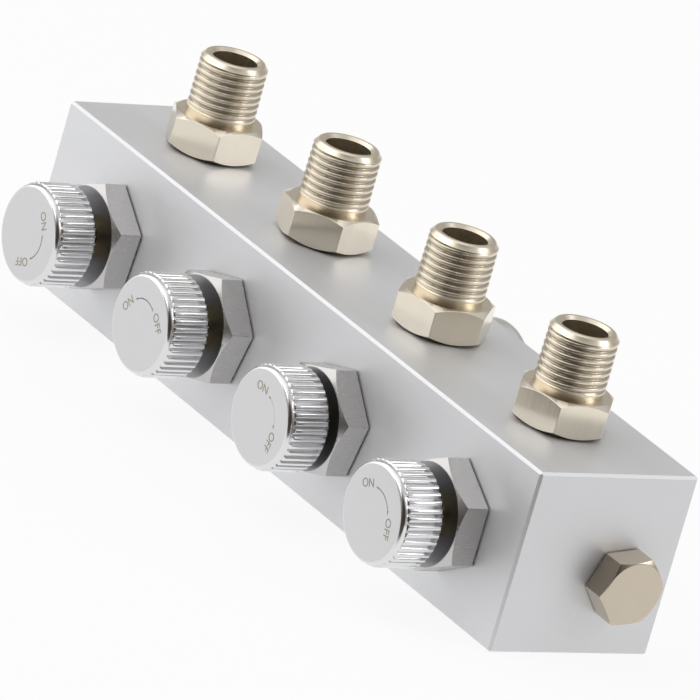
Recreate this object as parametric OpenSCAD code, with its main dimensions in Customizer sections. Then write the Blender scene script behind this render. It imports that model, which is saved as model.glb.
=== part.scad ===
// Air manifold block: a square bar with four screw valves in front, four threaded outlets on top,
// a plugged gallery end and one inlet at the rear. Sizes in millimetres.
// X runs along the bar towards the plug, Y towards the rear, Z up from the base.

/* [Block] */
// Length of the bar
block_l = 165; // [150:1:200]
// Depth of the bar, front to rear
block_d = 35; // [34:0.5:44]
// Height of the bar
block_h = 35; // [34:0.5:44]
// Broken edge along every corner of the bar
block_edge = 0.5; // [0.2:0.1:1]
// Length of bar beyond the first and last station
end_room = 21.9; // [18:0.1:24]
// Diameter of the long air gallery
gallery_d = 8.4; // [7:0.1:8.8]
// How far the gallery lies behind the middle of the bar
gallery_back = 6; // [5.5:0.1:6.5]
// Height of the gallery above the base
gallery_z = 14.5; // [14:0.1:15]

/* [Outlets] */
// Shift of the outlet row from the middle of the bar
outlet_shift = -0.2; // [-2:0.1:2]
// How far the outlet row lies behind the middle of the bar
outlet_back = 0.7; // [-1:0.1:1]
// Outside diameter of the outlet thread
outlet_od = 13.157; // [12.5:0.001:13.6]
// Width across the flats of the outlet hexagon
outlet_af = 16.6; // [15:0.1:19]
// Height of the outlet hexagon above its washer
outlet_hex_h = 6.7; // [5:0.1:8]
// Smooth length above the hexagon
outlet_neck = 1.8; // [1:0.1:3]
// Diameter of the smooth length
outlet_neck_d = 12.9; // [12:0.1:13.1]
// Length of the outlet thread above the smooth length
outlet_thread_l = 10.1; // [8:0.1:14]
// Pitch of the outlet thread
outlet_pitch = 1.337; // [1.2:0.001:1.5]
// Depth of the outlet thread
outlet_cut = 0.5; // [0.3:0.05:0.6]
// Slope at the free end of the thread
outlet_tip = 1.5; // [0.6:0.1:1.6]
// Through bore of the outlet
outlet_bore = 8.6; // [6:0.1:8.8]
// Mouth of the outlet bore
outlet_mouth = 9.4; // [9:0.1:10]
// Diameter of the outlet tail inside the bar, at the middle of its thread
outlet_tail_d = 12.3; // [11.8:0.1:12.6]
// Length of the outlet tail inside the bar
outlet_tail = 8.2; // [6:0.1:8.6]
// Drill that joins an outlet to its valve chamber
outlet_drill = 6; // [4:0.1:6.4]

/* [Valves] */
// Shift of the valve row from the outlet row
valve_shift = 1.4; // [0:0.1:3]
// How far the valve row lies below the middle of the bar
valve_drop = 0.3; // [0:0.1:0.6]
// Width across the flats of the bonnet
bonnet_af = 19.3; // [18:0.1:22]
// Height of the bonnet hexagon in front of its washer
bonnet_hex_h = 5.5; // [4:0.1:7]
// Diameter of the bonnet tail inside the bar
bonnet_tail_d = 14; // [13.6:0.1:14.6]
// Length of the bonnet tail inside the bar
bonnet_tail_l = 7.5; // [7:0.1:8.4]
// Bore of the valve chamber
chamber_d = 11; // [10:0.1:11.5]
// Depth of the valve seat behind the front face
seat_depth = 18; // [17.8:0.1:18.4]
// Hole through the valve seat
orifice_d = 4.5; // [3:0.1:5]
// Diameter of the valve stem
stem_d = 8.8; // [8:0.1:9.8]
// Neck of the stem between its shank and the seat disc
stem_neck_d = 6; // [5:0.1:7]
// Pin on which the seat disc turns
stem_pin_d = 4; // [3:0.1:4.6]
// Diameter of the seat disc
disc_d = 8; // [7:0.1:9]
// Length of the seat disc
disc_l = 4; // [3.4:0.1:4.6]
// Lift of each seat disc from its seat as pictured
lift_1 = 2.4; // [0:0.001:3]
// Lift of the second seat disc
lift_2 = 2.2; // [0:0.001:3]
// Lift of the third seat disc
lift_3 = 1; // [0:0.001:3]
// Lift of the fourth seat disc
lift_4 = 2.1; // [0:0.001:3]

/* [Knobs] */
// Diameter of the knob over its grip
knob_d = 19.5; // [18:0.1:22]
// Length of the knob
knob_l = 9.1; // [7:0.1:10]
// Length of the smooth rim in front of the grip
knob_rim = 1.2; // [1:0.1:2]
// How far the rim lies inside the crests of the grip
rim_in = 0.4; // [0.2:0.1:0.6]
// Slope at the rear of the grip
grip_slope = 0.8; // [0.3:0.1:1.2]
// Rounding of the rim
knob_round = 0.8; // [0.3:0.1:0.9]
// Number of grooves round the grip
knob_grooves = 40; // [24:1:48]
// Depth of the grip grooves
groove_depth = 0.6; // [0.3:0.05:0.9]
// Space between bonnet and knob with the valve shut
knob_shut_gap = 0.7; // [0.5:0.1:3]
// Diameter of the spigot that carries the knob
spigot_d = 6; // [5:0.1:7]
// Length of the spigot
spigot_l = 5; // [4:0.1:5.4]

/* [End plug] */
// Width across the flats of the end plug
plug_af = 12; // [10.8:0.1:14]
// Height of the plug hexagon outside its washer
plug_hex_h = 5.2; // [4:0.1:7]
// Diameter of the plug tail
plug_tail_d = 9.728; // [9.4:0.001:10]
// Length of the plug tail
plug_tail_l = 8; // [6:0.1:9]

/* [Inlet] */
// Place of the inlet along the bar
inlet_x = 0; // [-4:0.5:4]
// Height of the inlet above the base
inlet_z = 17.5; // [17:0.1:18]
// Diameter of the inlet fitting
inlet_d = 22; // [20:0.1:24]
// Length of the inlet fitting outside its washer
inlet_l = 16.3; // [14:0.1:20]
// Rounding of the free end of the inlet fitting
inlet_round = 3; // [1:0.1:3.5]
// Bore of the inlet port
inlet_bore = 11.8; // [11.4:0.1:12.4]
// Depth of the inlet port
inlet_deep = 12; // [10:0.1:13]
// Diameter of the inlet tail inside the bar
inlet_tail_d = 13; // [12:0.1:13.6]
// Length of the inlet tail inside the bar
inlet_tail_l = 5; // [4:0.1:5.5]
// Drill from the inlet to the gallery
inlet_drill = 7; // [5:0.1:8]

/* [Fits] */
// Thickness of every sealing washer
washer_t = 0.3; // [0.2:0.1:0.8]
// Width by which a washer stays inside its hexagon
washer_in = 1; // [0.5:0.1:1.2]
// Radial clearance of screwed tails in their ports
thread_fit = 0.05; // [0.02:0.01:0.1]
// Radial clearance of parts that turn or slide
running_fit = 0.05; // [0.02:0.01:0.1]
// Radial clearance of the knob on its spigot
knob_fit = 0.02; // [0.01:0.01:0.05]
// Free depth past the end of each tail
tail_room = 0.3; // [0.1:0.1:0.5]
// Section of the stem sealing ring
ring_w = 1.4; // [1:0.1:1.6]
// Slack of the sealing ring in its groove
ring_slack = 0.1; // [0.05:0.05:0.2]

/* [Hidden] */
$fn = 40;
pitch = (block_l - 2 * end_room) / 3;
outlet_x = [for (i = [0:3]) outlet_shift + (i - 1.5) * pitch];
valve_x = [for (i = [0:3]) outlet_x[i] + valve_shift];
valve_z = block_h / 2 - valve_drop;
front_y = -block_d / 2;
rear_y = block_d / 2;
end_x = block_l / 2;
lift = [lift_1, lift_2, lift_3, lift_4];
outlet_turn = [30, 41.5, 13.8, 19.7];
bonnet_turn = [25, 15, 17, 30];
plug_turn = 8.5;
outlet_straight = outlet_thread_l - outlet_tip;
outlet_turns = floor(outlet_straight / outlet_pitch);
outlet_port_d = outlet_tail_d + 2 * thread_fit;
bonnet_port_d = bonnet_tail_d + 2 * thread_fit;
plug_port_d = plug_tail_d + 2 * thread_fit;
inlet_port_d = inlet_tail_d + 2 * thread_fit;
stem_bore = stem_d + 2 * running_fit;
bonnet_out = washer_t + bonnet_hex_h;
knob_rear = bonnet_out + knob_shut_gap;
shank_in = bonnet_tail_l + 1;
groove_d = stem_d + 2 * (ring_w - ring_slack);
ring_at = -bonnet_tail_l / 2;
pin_l = disc_l / 2;

// Places children on a valve axis, their Z pointing out of the front face
module on_valve(i) {
  translate([valve_x[i], front_y, valve_z]) rotate([90, 0, 0]) children();
}

// Places children on an outlet axis, their Z pointing up from the top face
module on_outlet(i) {
  translate([outlet_x[i], outlet_back, block_h]) children();
}

// Places children on the gallery axis at the plugged end, their Z pointing out
module on_plug() {
  translate([end_x, gallery_back, gallery_z]) rotate([90, 0, 90]) children();
}

// Places children on the inlet axis, their Z pointing out of the rear face
module on_inlet() {
  translate([inlet_x, rear_y, inlet_z]) rotate([-90, 0, 0]) children();
}

// Hexagon turned in a lathe: corners sloped off at the ends asked for
module turned_hex(af, h, turn, low, high) {
  r = af / sqrt(3);
  face = af * 0.487;
  wide = r + 1;
  fall = (wide - face) * 0.62;
  intersection() {
    rotate([0, 0, turn]) cylinder(h = h, r = r, $fn = 6);
    rotate_extrude()
      polygon(concat(
        [[0, 0]],
        low ? [[face, 0], [wide, fall]] : [[wide, 0]],
        high ? [[wide, h - fall], [face, h]] : [[wide, h]],
        [[0, h]]
      ));
  }
}

// Flat sealing washer
module washer(od, id) {
  difference() {
    cylinder(h = washer_t, d = od);
    translate([0, 0, -1]) cylinder(h = washer_t + 2, d = id);
  }
}

// Square section with broken corners
module broken_square(w, h) {
  e = block_edge;
  polygon([[-w / 2 + e, 0], [w / 2 - e, 0], [w / 2, e], [w / 2, h - e],
    [w / 2 - e, h], [-w / 2 + e, h], [-w / 2, h - e], [-w / 2, e]]);
}

module manifold_block() {
  color([0.82, 0.83, 0.85])
  difference() {
    intersection() {
      rotate([90, 0, 90]) translate([0, 0, -block_l / 2])
        linear_extrude(block_l) broken_square(block_d, block_h);
      rotate([90, 0, 0]) translate([0, 0, -block_d / 2])
        linear_extrude(block_d) broken_square(block_l, block_h);
      linear_extrude(block_h) translate([0, -block_d / 2]) broken_square(block_l, block_d);
    }
    on_plug() {
      translate([0, 0, -(end_x - valve_x[0]) - gallery_d / 2])
        cylinder(h = end_x - valve_x[0] + gallery_d / 2 + 1, d = gallery_d);
      translate([0, 0, -plug_tail_l - tail_room]) cylinder(h = plug_tail_l + tail_room + 1, d = plug_port_d);
    }
    on_inlet() {
      translate([0, 0, -inlet_tail_l - tail_room]) cylinder(h = inlet_tail_l + tail_room + 1, d = inlet_port_d);
      translate([0, 0, gallery_back - rear_y]) cylinder(h = rear_y - gallery_back, d = inlet_drill);
    }
    for (i = [0:3]) {
      on_valve(i) {
        translate([0, 0, -bonnet_tail_l - tail_room]) cylinder(h = bonnet_tail_l + tail_room + 1, d = bonnet_port_d);
        translate([0, 0, -seat_depth]) cylinder(h = seat_depth, d = chamber_d);
        translate([0, 0, front_y - gallery_back]) cylinder(h = gallery_back - front_y, d = orifice_d);
      }
      on_outlet(i) {
        translate([0, 0, -outlet_tail - tail_room]) cylinder(h = outlet_tail + tail_room + 1, d = outlet_port_d);
        translate([0, 0, valve_z - block_h + chamber_d / 4])
          cylinder(h = block_h - valve_z - chamber_d / 4, d = outlet_drill);
      }
    }
  }
}

// Outside thread as rings, one for each turn, with a sloped free end
module outlet_thread() {
  r = outlet_od / 2;
  step = outlet_pitch;
  rotate_extrude()
    polygon(concat(
      [[0, 0], [r, 0]],
      [for (k = [0:outlet_turns - 1], s = [0:3])
        [r - [0, 1, 1, 0][s] * outlet_cut, (k + [0.15, 0.44, 0.56, 0.85][s]) * step]],
      [[r, outlet_straight], [r - outlet_tip, outlet_thread_l], [0, outlet_thread_l]]
    ));
}

module outlet_nipple(i) {
  neck_at = washer_t + outlet_hex_h;
  thread_at = neck_at + outlet_neck;
  top = thread_at + outlet_thread_l;
  mouth_deep = (outlet_mouth - outlet_bore) / 2;
  color([0.78, 0.74, 0.66])
  on_outlet(i) difference() {
    union() {
      translate([0, 0, washer_t]) turned_hex(outlet_af, outlet_hex_h, outlet_turn[i], true, true);
      translate([0, 0, -outlet_tail]) cylinder(h = outlet_tail + washer_t + 0.1, d = outlet_tail_d);
      translate([0, 0, neck_at - 0.1]) cylinder(h = outlet_neck + 0.2, d = outlet_neck_d);
      translate([0, 0, thread_at]) outlet_thread();
    }
    translate([0, 0, -outlet_tail - 1]) cylinder(h = outlet_tail + top + 2, d = outlet_bore);
    translate([0, 0, top - mouth_deep])
      cylinder(h = mouth_deep + 0.02, d1 = outlet_bore, d2 = outlet_mouth + 0.04);
  }
}
module outlet_nipple_1() { outlet_nipple(0); }
module outlet_nipple_2() { outlet_nipple(1); }
module outlet_nipple_3() { outlet_nipple(2); }
module outlet_nipple_4() { outlet_nipple(3); }

module outlet_washers() {
  color([0.16, 0.16, 0.17])
  for (i = [0:3]) on_outlet(i) washer(outlet_af - 2 * washer_in, outlet_port_d);
}

module valve_bonnet(i) {
  color([0.75, 0.75, 0.77])
  on_valve(i) difference() {
    union() {
      translate([0, 0, washer_t]) turned_hex(bonnet_af, bonnet_hex_h, bonnet_turn[i], false, true);
      translate([0, 0, -bonnet_tail_l]) cylinder(h = bonnet_tail_l + washer_t + 0.1, d = bonnet_tail_d);
    }
    translate([0, 0, -bonnet_tail_l - 1]) cylinder(h = bonnet_tail_l + bonnet_out + 2, d = stem_bore);
    translate([0, 0, ring_at - ring_w / 2 - ring_slack])
      cylinder(h = ring_w + 2 * ring_slack, d = groove_d + 2 * ring_slack);
  }
}
module valve_bonnet_1() { valve_bonnet(0); }
module valve_bonnet_2() { valve_bonnet(1); }
module valve_bonnet_3() { valve_bonnet(2); }
module valve_bonnet_4() { valve_bonnet(3); }

module bonnet_washers() {
  color([0.1, 0.1, 0.11])
  for (i = [0:3]) on_valve(i) washer(bonnet_af - 2 * washer_in, bonnet_port_d);
}

module stem_rings() {
  mid_r = (stem_bore + groove_d + 2 * ring_slack) / 4;
  rad = (groove_d + 2 * ring_slack - stem_bore) / 4;
  color([0.09, 0.09, 0.1])
  for (i = [0:3]) on_valve(i) translate([0, 0, ring_at])
    rotate_extrude() translate([mid_r, 0]) circle(r = rad, $fn = 16);
}

module valve_stem(i) {
  disc_rear = -seat_depth + disc_l + running_fit;
  color([0.68, 0.56, 0.32])
  on_valve(i) translate([0, 0, lift[i]]) {
    translate([0, 0, -shank_in]) cylinder(h = shank_in + knob_rear, d = stem_d);
    translate([0, 0, disc_rear]) cylinder(h = -shank_in - disc_rear + 0.1, d = stem_neck_d);
    translate([0, 0, disc_rear - pin_l]) cylinder(h = pin_l + 0.1, d = stem_pin_d);
    translate([0, 0, knob_rear - 0.1]) cylinder(h = spigot_l + 0.1, d = spigot_d);
  }
}
module valve_stem_1() { valve_stem(0); }
module valve_stem_2() { valve_stem(1); }
module valve_stem_3() { valve_stem(2); }
module valve_stem_4() { valve_stem(3); }

module seat_disc(i) {
  color([0.86, 0.85, 0.8])
  on_valve(i) translate([0, 0, lift[i] - seat_depth]) difference() {
    cylinder(h = disc_l, d = disc_d);
    translate([0, 0, disc_l - pin_l]) cylinder(h = pin_l + 1, d = stem_pin_d + 2 * running_fit);
  }
}
module seat_disc_1() { seat_disc(0); }
module seat_disc_2() { seat_disc(1); }
module seat_disc_3() { seat_disc(2); }
module seat_disc_4() { seat_disc(3); }

module grip_outline() {
  crest = knob_d / 2;
  root = crest - groove_depth;
  step = 360 / knob_grooves;
  polygon([for (k = [0:knob_grooves - 1], s = [0:3])
    let (a = k * step + [0, 0.34, 0.6, 0.74][s] * step, r = s == 3 ? root : crest - (s == 1 ? 0 : 0.06))
    [r * cos(a), r * sin(a)]]);
}

module valve_knob(i) {
  grip_l = knob_l - knob_rim;
  crest = knob_d / 2;
  r = crest - rim_in;
  c = knob_round;
  color([0.84, 0.84, 0.85])
  on_valve(i) translate([0, 0, knob_rear + lift[i]]) difference() {
    union() {
      intersection() {
        linear_extrude(grip_l) grip_outline();
        rotate_extrude()
          polygon([[0, 0], [crest - grip_slope, 0], [crest + 0.1, grip_slope + 0.1],
            [crest + 0.1, grip_l - rim_in - 0.1], [r, grip_l], [0, grip_l]]);
      }
      translate([0, 0, grip_l - 0.1]) rotate_extrude()
        polygon(concat([[0, 0], [r, 0]],
          [for (a = [0:15:90]) [r - c + c * cos(a), knob_rim + 0.1 - c + c * sin(a)]], [[0, knob_rim + 0.1]]));
    }
    translate([0, 0, -1]) cylinder(h = spigot_l + tail_room + 1, d = spigot_d + 2 * knob_fit);
  }
}
module valve_knob_1() { valve_knob(0); }
module valve_knob_2() { valve_knob(1); }
module valve_knob_3() { valve_knob(2); }
module valve_knob_4() { valve_knob(3); }

module end_plug() {
  color([0.77, 0.73, 0.66])
  on_plug() {
    translate([0, 0, washer_t]) turned_hex(plug_af, plug_hex_h, plug_turn, false, true);
    translate([0, 0, -plug_tail_l]) cylinder(h = plug_tail_l + washer_t + 0.1, d = plug_tail_d);
  }
}

module end_plug_washer() {
  color([0.16, 0.16, 0.17])
  on_plug() washer(plug_af - washer_in, plug_port_d);
}

module inlet_fitting() {
  top = washer_t + inlet_l;
  r = inlet_d / 2;
  c = inlet_round;
  color([0.75, 0.75, 0.77])
  on_inlet() difference() {
    union() {
      translate([0, 0, washer_t]) rotate_extrude()
        polygon(concat([[0, 0], [r - 0.4, 0], [r, 0.4]],
          [for (a = [0:11.25:90]) [r - c + c * cos(a), inlet_l - c + c * sin(a)]], [[0, inlet_l]]));
      translate([0, 0, -inlet_tail_l]) cylinder(h = inlet_tail_l + washer_t + 0.1, d = inlet_tail_d);
    }
    translate([0, 0, top - inlet_deep]) cylinder(h = inlet_deep + 1, d = inlet_bore);
    translate([0, 0, -inlet_tail_l - 1]) cylinder(h = inlet_tail_l + top, d = inlet_drill);
  }
}

module inlet_washer() {
  color([0.16, 0.16, 0.17])
  on_inlet() washer(inlet_d - 2 * washer_in, inlet_port_d);
}

manifold_block();
outlet_nipple_1();
outlet_nipple_2();
outlet_nipple_3();
outlet_nipple_4();
outlet_washers();
valve_bonnet_1();
valve_bonnet_2();
valve_bonnet_3();
valve_bonnet_4();
bonnet_washers();
stem_rings();
valve_stem_1();
valve_stem_2();
valve_stem_3();
valve_stem_4();
seat_disc_1();
seat_disc_2();
seat_disc_3();
seat_disc_4();
valve_knob_1();
valve_knob_2();
valve_knob_3();
valve_knob_4();
end_plug();
end_plug_washer();
inlet_fitting();
inlet_washer();
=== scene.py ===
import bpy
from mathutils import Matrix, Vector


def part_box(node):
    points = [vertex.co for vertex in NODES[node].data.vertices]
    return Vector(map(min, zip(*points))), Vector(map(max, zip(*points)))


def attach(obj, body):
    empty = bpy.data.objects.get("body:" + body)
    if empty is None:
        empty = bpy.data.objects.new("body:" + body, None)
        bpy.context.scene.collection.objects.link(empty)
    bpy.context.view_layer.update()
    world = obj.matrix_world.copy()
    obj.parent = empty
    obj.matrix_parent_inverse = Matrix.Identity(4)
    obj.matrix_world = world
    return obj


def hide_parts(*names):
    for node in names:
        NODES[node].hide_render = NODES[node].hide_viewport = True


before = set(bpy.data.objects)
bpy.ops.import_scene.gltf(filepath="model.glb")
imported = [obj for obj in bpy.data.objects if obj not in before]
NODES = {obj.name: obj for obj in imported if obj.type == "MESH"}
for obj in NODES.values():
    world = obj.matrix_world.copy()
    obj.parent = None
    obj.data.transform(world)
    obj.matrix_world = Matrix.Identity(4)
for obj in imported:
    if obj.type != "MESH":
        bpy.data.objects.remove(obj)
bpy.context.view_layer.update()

import math

import bpy
from bpy.props import FloatProperty, FloatVectorProperty, IntProperty, PointerProperty
from mathutils import Matrix, Vector

bl_info = {
    "name": "Air manifold dressing",
    "version": (1, 0, 0),
    "blender": (4, 5, 0),
    "location": "View3D > Sidebar > Manifold",
    "description": "Threads, grips, marks and finishes for a four-valve air manifold bar",
    "category": "Object",
}

MM = 0.001
STATIONS = (1, 2, 3, 4)
BAR_LOW, BAR_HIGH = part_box("manifold_block")

# Which way a piece's own Z points: up, out of the front, out of the plugged end, out of the rear
UP = Matrix.Identity(3)
FRONT = Matrix(((1, 0, 0), (0, 0, -1), (0, 1, 0)))
END = Matrix(((0, 0, 1), (1, 0, 0), (0, 1, 0)))
REAR = Matrix(((1, 0, 0), (0, 0, 1), (0, -1, 0)))

# Turn of each hexagon about its axis and of each knob's marks, in degrees, as pictured
NIPPLE_TURN = {1: 30.0, 2: 41.5, 3: 13.8, 4: 19.7}
BONNET_TURN = {1: 25.0, 2: 15.0, 3: 17.0, 4: 30.0}
PLUG_TURN = 8.5
MARK_TURN = {1: -19.0, 2: 92.5, 3: 38.0, 4: 60.5}

# Points nearer than this are merged: after turning, after a boolean, in the printed marks
TURNED_MERGE, CARVED_MERGE, PRINTED_MERGE = 2e-6, 4e-6, 1e-6

# Steps of a full turn in the lathe, steps of one groove of a grip, rings in one turn of a thread
HEXAGON_STEPS, TUBE_STEPS, STEM_STEPS, DRILL_STEPS, PLUG_STEPS = 120, 96, 72, 64, 48
GROOVE_STEPS = 12
NIPPLE_RINGS, INLET_RINGS = 16, 12

# Rounded edges of lip, rim and inlet: first and last angle in degrees, and steps
LIP_ARC, RIM_ARC, INLET_ARC = (25, 90, 6), (0, 90, 8), (0, 90, 12)

# Angles below which faces shade as one, in degrees
SMOOTH_ANGLE, GRIP_SMOOTH_ANGLE = 32.0, 40.0

# A turned hexagon: its face as a share of the flats, the fall of its slope, its rounded rim, its corners,
# the length of its bar over its height, and how squarely a face looks forward to count as turned, which on a
# bonnet is painted with shade
FACE_SHARE, FACE_FALL = 0.487, 0.62
RIM_IN, RIM_OUT, RIM_DOWN = 0.1 * MM, 0.085 * MM, 0.053 * MM
CORNER_BREAK, CORNER_ANGLE = 0.1 * MM, math.radians(40)
BAR_OVER, FACE_ON = 1.2, 0.9

# A thread: half its opening and one flank in shares of the pitch, how much quicker it ends than it begins,
# how near the crest a point is pressed, and the depth past which a point isn't in the thread
THREAD_HALF, THREAD_FLANK = 0.38, 0.34
THREAD_END = 3.0
CREST_NEAR = 0.01 * MM
ROOT_LIMIT = 1.5

# A groove of a grip: half its opening as a share of its spacing, its form, and the crown between two
GROOVE_HALF, GROOVE_FORM, GROOVE_CROWN = 0.26, 1.2, 0.22
GRIP_HEIGHTS = (0.8 * MM, 2.2 * MM, 4.0 * MM, 5.8 * MM)

# An arrowhead's width and length over its size, and the steps of the arc
ARROW_FORM = (0.62, 1.15, 1)
ARC_STEPS = 24

# Finishes: colour, roughness, stretch and scale of the grain, its shade, its spread of roughness, its bump,
# how metallic it is, and how far painted shade darkens the roots of a thread
FINISHES = {
    "satin_aluminium": ("aluminium", 0.5, (0.06, 1, 1), 1400, 0.05, 0.07, 0.08, 0.7, 0.0),
    "nickel_plate": ("nickel", 0.29, (1, 1, 0.3), 1500, 0.08, 0.07, 0.05, 1.0, 0.4),
    "nickel_dull": ("dull", 0.24, (1, 1, 1), 1500, 0.08, 0.07, 0.05, 1.0, 0.0),
    # Hexagon flats: smoother brushed finish, and a colour brighter than the plating that is painted light
    "nickel_flats": ("flats", 0.2, (1, 1, 0.1), 1900, 0.12, 0.1, 0.1, 1.0, 0.0),
    "cast_chrome": ("cast", 0.33, (1, 1, 1), 700, 0.06, 0.08, 0.05, 1.0, 0.0),
    "bright_chrome": ("bright", 0.17, (1, 1, 1), 500, 0.04, 0.04, 0.015, 1.0, 0.0),
    "soft_chrome": ("chrome", 0.27, (1, 0.2, 1), 900, 0.05, 0.06, 0.03, 1.0, 0.0),
    # Painted shade: dark chrome for the bonnets' turned faces, in the gap under the knobs
    "dark_chrome": ("dark", 0.34, (1, 1, 1), 900, 0.05, 0.06, 0.03, 1.0, 0.0),
    "satin_chrome": ("satin", 0.38, (1, 1, 1), 2600, 0.05, 0.08, 0.12, 1.0, 0.0),
    "turned_brass": ("brass", 0.22, (1, 6, 1), 900, 0.1, 0.08, 0.04, 1.0, 0.0),
    "seal_rubber": ("rubber", 0.6, (1, 1, 1), 800, 0.2, 0.15, 0.2, 0.0, 0.0),
    "seat_plastic": ("plastic", 0.45, (1, 1, 1), 400, 0.04, 0.1, 0.05, 0.0, 0.0),
    "mark_ink": ("ink", 0.55, (1, 1, 1), 1500, 0.25, 0.1, 0.02, 0.0, 0.0),
}
# Painted shade in the roots of a thread: the colour they darken towards
ROOT_SHADE = (0.1, 0.08, 0.055, 1)
GRAIN_RELIEF = 0.05 * MM
BROAD_GRAIN = 0.12

# Colour sockets of a mix node: the two inputs and the output
MIX_FROM, MIX_TO, MIXED = 6, 7, 2

# Stage: white, the dark that reflections show on one side, that side, and where the dark sets in on the floor
# (along that side, then along Y) and in the surroundings
WHITE, DUSK = (1, 1, 1, 1), (0.06, 0.045, 0.03, 1)
DUSK_SIDE = (0.788, -0.616, 0)
DUSK_FAR, DUSK_AHEAD, DUSK_AROUND = (0.088, 0.12), (-0.03, -0.07), (0.4, 0.8)
FLOOR_HEIGHT = -0.2 * MM
PAPER, PAPER_ROUGHNESS = (0.86, 0.86, 0.86, 1), 0.9
PAPER_SEEN, PAPER_SHINE = 0.9, 0.97
SKY = ((0.0, (0.5, 0.5, 0.5, 1)), (0.12, (0.62, 0.61, 0.59, 1)), (0.36, (0.38, 0.366, 0.344, 1)),
       (0.62, (0.66, 0.66, 0.66, 1)), (1.0, (0.68, 0.68, 0.68, 1)))

# Lamps: name, place, what they aim at, size, power in watts
LAMPS = (("top_box", (-0.15, -0.1, 0.95), (0, 0, 0), (0.9, 0.7), 1.0),
         ("left_box", (-0.75, -0.55, 0.5), (0, 0, 0.02), (1.0, 1.1), 3.8),
         ("front_box", (-0.05, -0.66, 0.6), (0, 0, 0.02), (0.5, 0.5), 1.0),
         ("right_box", (0.6, 0.65, 0.55), (0, 0, 0.02), (0.4, 0.6), 1.9))

# The camera's own right, up and back, and its sensor in millimetres and shift
CAMERA_AXES = (Vector((0.521154, 0.811728, 0.263622)), Vector((-0.413771, -0.029849, 0.909891)),
               Vector((0.746453, -0.583272, 0.320314)))
SENSOR = 36.0
SHIFT = (-0.0053, -0.01236)


class NippleSizes(bpy.types.PropertyGroup):
    """Sizes of the outlet nipples"""
    flats: FloatProperty(name="Flats", description="Width across flats", default=16.6 * MM, unit="LENGTH")
    hex_height: FloatProperty(name="Hexagon", description="Hexagon height", default=6.7 * MM, unit="LENGTH")
    washer: FloatProperty(name="Washer", description="Washer thickness", default=0.3 * MM, unit="LENGTH")
    tail: FloatProperty(name="Tail", description="Length inside the bar", default=8.2 * MM, unit="LENGTH")
    tail_radius: FloatProperty(name="Tail radius", description="Radius in the bar", default=6.15 * MM,
                               unit="LENGTH")
    neck: FloatProperty(name="Neck", description="Smooth length over the hexagon", default=1.3 * MM,
                        unit="LENGTH")
    neck_radius: FloatProperty(name="Neck radius", description="Radius of the neck", default=6.45 * MM,
                               unit="LENGTH")
    radius: FloatProperty(name="Thread radius", description="Crest of the thread", default=6.5785 * MM,
                          unit="LENGTH")
    pitch: FloatProperty(name="Pitch", description="Rise of one turn", default=1.337 * MM, unit="LENGTH")
    depth: FloatProperty(name="Thread depth", description="Crest to root", default=0.46 * MM, unit="LENGTH")
    start: FloatProperty(name="Thread start", description="Angle at which the thread begins",
                         default=math.radians(70.62977), subtype="ANGLE")
    taper: FloatProperty(name="Taper", description="Radius lost per length of thread", default=0.012)
    tip: FloatProperty(name="Tip", description="Sloped free end", default=1.05 * MM, unit="LENGTH")
    lead: FloatProperty(name="Lead", description="Radius lost on the slope", default=0.5 * MM, unit="LENGTH")
    lip: FloatProperty(name="Lip", description="Rounding of the free end", default=0.65 * MM, unit="LENGTH")
    bore: FloatProperty(name="Bore radius", description="Radius of the bore", default=4.3 * MM, unit="LENGTH")
    mouth: FloatProperty(name="Mouth radius", description="Bore at the end", default=4.7 * MM, unit="LENGTH")


class ValveSizes(bpy.types.PropertyGroup):
    """Sizes of bonnets, stems and knobs"""
    flats: FloatProperty(name="Flats", description="Bonnet across flats", default=19.3 * MM, unit="LENGTH")
    washer: FloatProperty(name="Washer", description="Washer thickness", default=0.3 * MM, unit="LENGTH")
    bonnet: FloatProperty(name="Bonnet", description="Bonnet height", default=5.5 * MM, unit="LENGTH")
    tail: FloatProperty(name="Tail", description="Bonnet inside the bar", default=7.5 * MM, unit="LENGTH")
    tail_radius: FloatProperty(name="Tail radius", description="Radius in the bar", default=7.0 * MM,
                               unit="LENGTH")
    stem: FloatProperty(name="Stem radius", description="Radius of the stem", default=4.4 * MM, unit="LENGTH")
    fit: FloatProperty(name="Fit", description="Clearance round the stem", default=0.05 * MM, unit="LENGTH")
    shank: FloatProperty(name="Shank", description="Full-width length", default=15.0 * MM, unit="LENGTH")
    spigot: FloatProperty(name="Spigot radius", description="Stem in the knob", default=3.0 * MM,
                          unit="LENGTH")
    stem_neck: FloatProperty(name="Stem neck", description="Radius under the shank", default=3.0 * MM,
                             unit="LENGTH")
    pin: FloatProperty(name="Pin radius", description="Stem in its disc", default=2.0 * MM, unit="LENGTH")
    pin_length: FloatProperty(name="Pin", description="Length in the disc", default=2.05 * MM, unit="LENGTH")
    ring_drop: FloatProperty(name="Ring", description="Ring groove below the shoulder", default=1.9 * MM,
                             unit="LENGTH")
    ring_width: FloatProperty(name="Ring width", description="Width of the ring groove", default=0.65 * MM,
                              unit="LENGTH")
    ring_depth: FloatProperty(name="Ring depth", description="Depth of the ring groove", default=0.4 * MM,
                              unit="LENGTH")
    rim: FloatProperty(name="Rim", description="Smooth rim of a knob", default=1.2 * MM, unit="LENGTH")
    rim_in: FloatProperty(name="Rim step", description="Rim inside the crests", default=0.4 * MM,
                          unit="LENGTH")
    rim_round: FloatProperty(name="Rim round", description="Rounding of the rim", default=0.8 * MM,
                             unit="LENGTH")
    socket: FloatProperty(name="Socket radius", description="Bore of a knob", default=3.02 * MM,
                          unit="LENGTH")
    socket_depth: FloatProperty(name="Socket", description="Depth of the bore", default=5.3 * MM,
                                unit="LENGTH")
    grooves: IntProperty(name="Grooves", description="Grooves round the grip", default=40, min=12, max=60)
    groove_depth: FloatProperty(name="Groove depth", description="Depth of a groove", default=0.6 * MM,
                                unit="LENGTH")


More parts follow.
